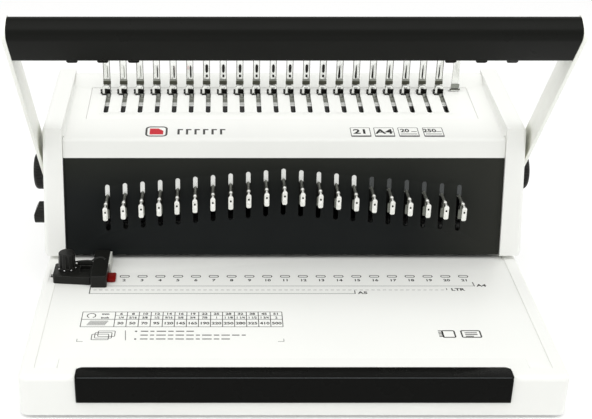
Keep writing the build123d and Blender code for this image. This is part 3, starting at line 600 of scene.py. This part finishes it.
grid = Artwork(on_table)
for row in (ROWS[0], ROWS[2], ROWS[3]):
    grid.bar(LEFT, RIGHT, row - THICK, row + THICK)
grid.bar(SPLIT, RIGHT, ROWS[1] - THIN, ROWS[1] + THIN)
for x in (LEFT, *(SPLIT + i * COLUMN for i in range(len(SIZES) + 1))):
    grid.bar(x - THICK, x + THICK, ROWS[3], ROWS[0])
grid.done("print_size_grid", INK_GREY, "table_white")
cells = Artwork(on_table)
for i in range(len(SIZES)):
    x = SPLIT + (i + 0.5) * COLUMN
    for texts, foot, height, stretch in ENTRIES:
        cells.text(texts[i], x, foot, height, stretch, BOLD)
for label, row in (("mm", ROWS[1]), ("inch", ROWS[2])):
    cells.text(label, LEFT + 17.5, row + 1.2, 2.3, 1.1, BOLD)
# a comb ring and a stack of sheets stand for the two row headings
ring = [(RING_CENTRE[0] + RING_RADIUS * cos(radians(-60 + i * 33)),
         RING_CENTRE[1] + RING_RADIUS * sin(radians(-60 + i * 33))) for i in range(10)]
for a, b in zip(ring, ring[1:]):
    cells.line(a, b, 0.7)
for i in range(4):
    u, v = LEFT + 4.5 + i * 0.6, -83.8 + i * 1.7
    cells.bar(u, LEFT + 18.5 + i * 0.6, v, -83.1 + i * 1.7)
cells.done("print_size_figures", INK, "table_white")

corner = Artwork(on_table)
for side, x in ((1, -156.0), (-1, -4.8)):
    corner.line((x, -106.0), (x + side * 4.2, -106.0), 0.4)
    corner.line((x, -106.0), (x, -102.6), 0.4)
corner.done("print_corner_marks", INK_GREY, "table_white")

# plain pictograms: sheets going in, and three rows of words drawn as bars, two with a bullet
HINT_ROWS = ((-93.0, 34, True), (-98.2, 78, False), (-103.4, 66, True))
WORDS = (5.5, 3.0, 7.0, 4.0, 6.2)
WORD_GAP = 1.6
HINT_LEFT = -110.0

hints = Artwork(on_table)
for i in range(3):
    shift = i * 2.2
    hints.frame(-146 + shift, -133 + shift, -104 + shift, -96 + shift, width=0.6, radius=1.0)
hints.line((-120.5, -104), (-121.5, -91.5), 0.5)
for row, length, bullet in HINT_ROWS:
    if bullet:
        hints.disc(-113.5, row + 0.6, 0.9)
    x, word = HINT_LEFT, 0
    while x < HINT_LEFT + length:
        end = x + WORDS[word % len(WORDS)]
        hints.bar(x, end, row + 0.1, row + 1.3)
        x, word = end + WORD_GAP, word + 1
hints.done("print_hints", INK_GREY, "table_white")

# a bound booklet beside a written page
badge = Artwork(on_table)
badge.frame(112, 122, -101, -91, width=1.1, radius=1.5)
for i in range(5):
    badge.bar(109.6, 113.4, -99.8 + i * 1.9, -98.9 + i * 1.9)
badge.frame(126, 141, -101, -91, width=1.1, radius=1.5)
badge.bar(129, 138, -94.9, -93.9)
badge.bar(129, 138, -97.2, -96.2)
badge.bar(129, 135, -99.5, -98.5)
badge.done("print_booklet_sign", INK, "table_white")

# ---------------------------------------------------------------- print on the top cover
BADGES = (  # left, right, text
    (54.4, 70.6, "21"), (73.6, 89.8, "A4"), (93.2, 109.6, "20"), (113.4, 129.6, "250"))
BADGE_LOW, BADGE_HIGH = 4.2, 19.6

names = Artwork(on_top)
for number, (u0, u1, label) in enumerate(BADGES):
    names.frame(u0, u1, BADGE_LOW, BADGE_HIGH, width=0.5, radius=0.8)
    names.bar(u0 + 0.2, u1 - 0.2, BADGE_LOW, BADGE_LOW + 2.0)
    if number < 2:  # large figures
        names.text(label, (u0 + u1) / 2, BADGE_LOW + 5.2, 7.2, 1.15, weight=0.30)
    else:  # small figures with one bar beside them and one below
        names.text(label, u0 + 5.4, BADGE_LOW + 7.8, 5.2, 0.95, weight=0.22)
        names.bar(u0 + 10.6, u1 - 1.4, BADGE_LOW + 8.2, BADGE_LOW + 9.0)
        names.bar(u0 + 1.6, u1 - 1.4, BADGE_LOW + 4.2, BADGE_LOW + 5.0)
names.done("print_badges", INK, "cover_white")

sign = Artwork(on_top)
sign.frame(-112, -94, 4.5, 21.5, width=1.6, radius=4.0)
for i in range(6):
    sign.bar(-86.0 + i * 6.9, -84.2 + i * 6.9, 8.0, 17.0)
    sign.bar(-86.0 + i * 6.9, -81.6 + i * 6.9, 15.2, 17.0)
sign.done("print_comb_sign", INK_GREY, "cover_white")
leaf = Artwork(on_top)
leaf.area([(-108.5, 8.0), (-97.5, 8.0), (-97.5, 14.0), (-101.5, 18.0), (-108.5, 18.0)])
leaf.done("print_leaf_sign", INK_RED, "cover_white")

# ---------------------------------------------------------------- details on the comb fingers
PALE_UNTIL, LEFT_UNTIL, MIDDLE_UNTIL = 3, 6, 14  # groups of fingers whose painted reflection streaks look alike


def streak(bm, x, low, high, foot, top, lean):
    """A painted reflection on a finger's front: a long tapered lens, foot and top wide."""
    low, high = FINGER_FOOT + low, FINGER_FOOT + high
    side = []
    for i in range(9):
        t = i / 8
        width = (foot + (top - foot) * t) * min(1.0, 0.35 + 4.4 * min(t, 1 - t))
        side.append((t, width / 2))
    outline = [(x + w + lean * t, low + (high - low) * t) for t, w in side]
    outline += [(x - w + lean * t, low + (high - low) * t) for t, w in reversed(side)]
    prism(bm, outline, facing(FINGER_FACE), -0.25, 0.04)


dark, pale = bmesh.new(), bmesh.new()
for k in range(1, HOLES + 1):
    x = hole_x(k) + FINGER_SHIFT
    if k <= LEFT_UNTIL:
        extra = max(0.0, (k - PALE_UNTIL) / 5)
        target = dark if k > PALE_UNTIL else pale
        streak(target, x + 0.8, 12.0, 23.5, 0.9 + extra, 0.7 + extra, -0.2)
    elif k <= MIDDLE_UNTIL:
        streak(dark, x + 0.2, 16.8, 24.4, 2.2, 2.5, 0.0)
        streak(dark, x + 0.2, 12.6, 15.2, 1.9, 1.9, 0.0)
    else:
        streak(dark, x - 0.4, 11.5, 24.0, 2.6 - (k - MIDDLE_UNTIL) * 0.16, 0.6, 0.3)
# dark and pale painted reflections on the fingers
piece("finger_painted_reflection_dark", dark, PAINTED_DARK, "housing")
piece("finger_painted_reflection_pale", pale, MIST, "housing")


def finger_block(bm, x, half, out, low, high):
    """A block just in front of a finger, between two heights over its foot."""
    box(bm, (x - half, x + half), (FINGER_FACE - out, FINGER_FACE - 0.02),
        (FINGER_FOOT + low, FINGER_FOOT + high))


# painted shade bands above each finger's foot, pale painted reflections above them, and dark
# painted outlines along the fingers' edges
painted_shade_bands, heels, painted_dark_outlines = bmesh.new(), bmesh.new(), bmesh.new()
for k in range(1, HOLES + 1):
    x = hole_x(k) + FINGER_SHIFT
    finger_block(painted_shade_bands, x, 3.3, 0.5, 6.4, 9.4)
    finger_block(heels, x, 3.2, 0.4, 9.5, 11.0)
    for side in (-1, 1):
        box(painted_dark_outlines, sorted((x + side * 2.45, x + side * 2.95)),
            (FINGER_FACE - 0.05, FINGER_FACE + 0.3), (FINGER_FOOT + 11.1, FINGER_FOOT + 33))
# the last finger has its own painted shade band low at its foot and its own pale painted
# reflection above it
x = hole_x(HOLES + 1) + FINGER_SHIFT
finger_block(painted_shade_bands, x, 4.4, 0.9, 1.4, 2.4)
finger_block(heels, x, 3.6, 0.6, 3.2, 6.6)
for blocks in (painted_shade_bands, heels):
    rounded(blocks, 0.12)
piece("finger_painted_shade_bands", painted_shade_bands, SHADE, "housing")
piece("finger_painted_reflection_heels", heels, MIST, "housing")
piece("finger_painted_dark_outlines", painted_dark_outlines, SHADE, "housing")

# painted shade on the hooks: dark blocks on their stems and small dark blocks beside their tips
HOOK_V = (HOOK_DEPTH - TOP_LIP[0]) / cos(radians(TOP_SLOPE))
HOOK_SHADE_BLOCKS = (  # across, along and above the slope, from the hook
    ((-3.1, 1.7), (-1.5, 1.2), (0.7, 4.9)),
    ((-7.0, -5.35), (-0.9, 0.9), (0.4, 1.7)),
    ((-7.0, -5.35), (-0.9, 0.9), (2.7, 4.0)),
)
painted_shade = bmesh.new()
for k in range(1, HOLES + 1):
    x = hole_x(k) + HOOK_SHIFT
    for across, along, above in HOOK_SHADE_BLOCKS:
        box(painted_shade, [x + u for u in across], [HOOK_V + v for v in along], above, on_top)
rounded(painted_shade, 0.15)
piece("hook_painted_shade", painted_shade, PAINTED_DARK, "rake")

# ---------------------------------------------------------------- details on the covers
WEB = (  # depth and height
    (16.0, 39.0), (37.9, 141.5), (151.0, 151.0), (151.0, 139.0), (48.0, 130.0), (28.0, 39.0))
JOINT = (  # depth and height
    (35.6, 119.0), (37.9, 129.3), (38.7, 131.4), (41.2, 133.0), (132.5, 142.3), (142.5, 148.3),
    (149.7, 149.0), (149.7, 129.0), (60.0, 119.0))
CORNER = (  # distance from the centre line and height over the top
    (176.3, -0.1), (178.3, -0.1), (178.3, 2.2), (177.6, 0.9), (176.9, 0.2))

# closing webs along the upper edge of the side covers
webs = bmesh.new()
for side in (-1, 1):
    prism(webs, WEB, sideways(side), 178.25, 179.6)
piece("side_cover_webs", webs, MAT["cover_white"], "housing")

# the joint between the top cover and the side covers, and the soft inner corner above it
joint = bmesh.new()
for side in (-1, 1):
    prism(joint, JOINT, sideways(side), 177.85, 178.3)
    prism(joint, CORNER, lambda x, h, v: on_top(side * x, v, h), 4.0, 95.0)
piece("side_cover_joints", joint, MAT["cover_white"], "housing")

# painted highlight along the drawer bar's front edge
trim = bmesh.new()
prism(trim, arc(-153.59, 35.79, 0.27, 0.27, 8), sideways(1), -150.5, 150.5)
piece("drawer_edge_line", trim, EDGE_SHINE, "drawer", smooth=60)

# ---------------------------------------------------------------- the pulls' heads and eyes
SLOT_TOP = 109.4  # height of the middle slot's upper end
SLOT_STEP = 1.31  # how much lower the next slot and pull are
HEAD_HALF, HEAD_LONG = 1.8, 9.2
PULL_TOP = 101.3  # height of the middle pull
PULL_OUT = 24.2  # how far a pull stands out of the panel
EYE_DROP = 4.4
LIGHT_UNTIL = 15  # the pulls further right get painted shade, the others a painted highlight

for k in range(1, HOLES + 1):
    x = hole_x(k)
    lower = SLOT_STEP * abs(k - MIDDLE)
    end = (SLOT_TOP - lower - PANEL_FOOT[1]) / cos(radians(PANEL_LEAN)) - 0.15
    outline = [(x - HEAD_HALF, end - HEAD_LONG), (x + HEAD_HALF, end - HEAD_LONG)]
    outline += arc(x, end - HEAD_HALF, HEAD_HALF, HEAD_HALF, 12, pi)
    head = bmesh.new()
    prism(head, outline, on_panel, -2.2, -0.3)
    rounded(head, 0.6, 3)
    # painted highlight on the left pulls' heads, painted shade on the right ones
    look = PULL_PAINTED_LIT if k <= LIGHT_UNTIL else PULL_PAINTED_SHADE
    piece(f"pull_head_{k:02d}", head, look, f"pull_{k:02d}", smooth=50)
    z = PULL_TOP - lower
    face = PANEL_FOOT[0] + (z - PANEL_FOOT[1]) * tan(radians(PANEL_LEAN)) - PULL_OUT
    eye = bmesh.new()
    prism(eye, arc(x, z - EYE_DROP, 0.75, 0.95, 16), facing(face), -1.0, 0.03)
    piece(f"pull_eye_{k:02d}", eye, PAINTED_DARK, f"pull_{k:02d}")

# ---------------------------------------------------------------- table seam
SEAM_HEIGHT = (32.7, TABLE_Z - 0.12)
seam = bmesh.new()
for side in (-1, 1):
    box(seam, sorted((side * 181.95, side * 182.3)), (-140.0, 37.5), SEAM_HEIGHT)
    box(seam, sorted((side * 165.7, side * 182.3)), (-140.3, -139.95), SEAM_HEIGHT)
piece("table_seam", seam, MAT["table_white"], "housing")

# ---------------------------------------------------------------- details on the edge guide
GUIDE_TOP = TABLE_Z + 6.9
ARM_PATH = (
    (-167.5, -4.6), (-163, -3.4), (-158, -3.0), (-154.6, -3.2), (-152.4, -0.6), (-149.4, 1.6),
    (-146.0, 1.0), (-143.6, -2.0))
ARM_SECTION = (
    (0.9, 0.0), (0.65, 0.65), (0.0, 0.95), (-0.65, 0.65), (-0.9, 0.0), (-0.5, -0.5),
    (0.5, -0.5))
ARM_LOW, ARM_HIGH, ARM_RISES = 2.6, 3.3, 4  # the arm is higher from its fifth point on

# curved clamp arm from the knob to the cheek
arm = bmesh.new()
rows = []
for i, (x, y) in enumerate(ARM_PATH):
    ahead, behind = ARM_PATH[min(i + 1, len(ARM_PATH) - 1)], ARM_PATH[max(i - 1, 0)]
    along = Vector((ahead[0] - behind[0], ahead[1] - behind[1])).normalized()
    across = Vector((-along.y, along.x))
    z = GUIDE_TOP + (ARM_HIGH if i >= ARM_RISES else ARM_LOW)
    rows.append([arm.verts.new((x + across.x * w, y + across.y * w, z + h))
                 for w, h in ARM_SECTION])
for a, b in zip(rows, rows[1:]):
    for i in range(len(ARM_SECTION)):
        j = (i + 1) % len(ARM_SECTION)
        arm.faces.new((a[i], a[j], b[j], b[i]))
arm.faces.new(list(reversed(rows[0])))
arm.faces.new(rows[-1])
piece("guide_clamp_arm", arm, MAT["guide_black"], "guide", smooth=50)

# the cheek's right face, drawn pale as a painted reflection of the white table
strip = bmesh.new()
box(strip, (-140.98, -139.5), (-8.0, 13.0), (TABLE_Z + 0.2, TABLE_Z + 9.4))
rounded(strip, 0.15)
piece("guide_strip", strip, PAINTED_SIDE_REFLECTION, "guide")

BEADS, BEAD_CIRCLE, BEAD_RADIUS = 8, 7.0, 0.75
beads = bmesh.new()
for i in range(BEADS):
    a = radians(i * 45 + 32)
    spot = (KNOB[0] + BEAD_CIRCLE * cos(a), KNOB[1] + BEAD_CIRCLE * sin(a), GUIDE_TOP + 1.2)
    bmesh.ops.create_uvsphere(
        beads, u_segments=10, v_segments=6, radius=BEAD_RADIUS, matrix=Matrix.Translation(spot))
piece("guide_knob_beads", beads, MAT["screw_steel"], "guide_clamp", smooth=60)

# ---------------------------------------------------------------- floor, light, camera (metres)
floor_mesh = bpy.data.meshes.new("floor")
floor_mesh.from_pydata([(-6, -6, 0), (6, -6, 0), (6, 6, 0), (-6, 6, 0)], [], [(0, 1, 2, 3)])
floor = bpy.data.objects.new("floor", floor_mesh)
bpy.context.scene.collection.objects.link(floor)
ground = Maker("pale_floor")
ground.set("Base Color", (0.86, 0.86, 0.858, 1))
ground.set("Roughness", 0.9)
ground.set("Specular IOR Level", 0.0)
ground.set("Emission Color", (1, 1, 1, 1))
ground.set("Emission Strength", 0.13)
floor_mesh.materials.append(ground.material)

world = bpy.data.worlds.new("studio")
bpy.context.scene.world = world
world.use_nodes = True
sky = world.node_tree.nodes["Background"]
sky.inputs["Color"].default_value = (1.0, 1.0, 0.995, 1)
sky.inputs["Strength"].default_value = 0.65

LIT_POINT = Vector((0, 0, 0.1))


def softbox(name, place, size, power):
    """A rectangular lamp that shines at the machine."""
    light = bpy.data.lights.new(name, "AREA")
    light.shape = "RECTANGLE"
    light.size, light.size_y = size
    light.energy = power
    obj = bpy.data.objects.new(name, light)
    bpy.context.scene.collection.objects.link(obj)
    obj.location = place
    obj.rotation_euler = (LIT_POINT - Vector(place)).to_track_quat("-Z", "Y").to_euler()


softbox("key", (0.0, -0.65, 2.1), (2.8, 1.7), 27.5)
softbox("left", (-1.5, -0.5, 1.1), (1.2, 1.2), 5.5)
softbox("right", (1.5, -0.5, 1.1), (1.2, 1.2), 5.5)

camera_data = bpy.data.cameras.new("camera")
camera_data.sensor_width = 36.0
camera_data.lens = 69.93
camera_data.shift_x = 0.128
camera = bpy.data.objects.new("camera", camera_data)
bpy.context.scene.collection.objects.link(camera)
camera.location = (-0.0513, -0.8115, 0.4971)
camera.rotation_euler = (radians(63.3), 0, 0)
bpy.context.scene.camera = camera
bpy.context.scene.view_settings.view_transform = "Standard"
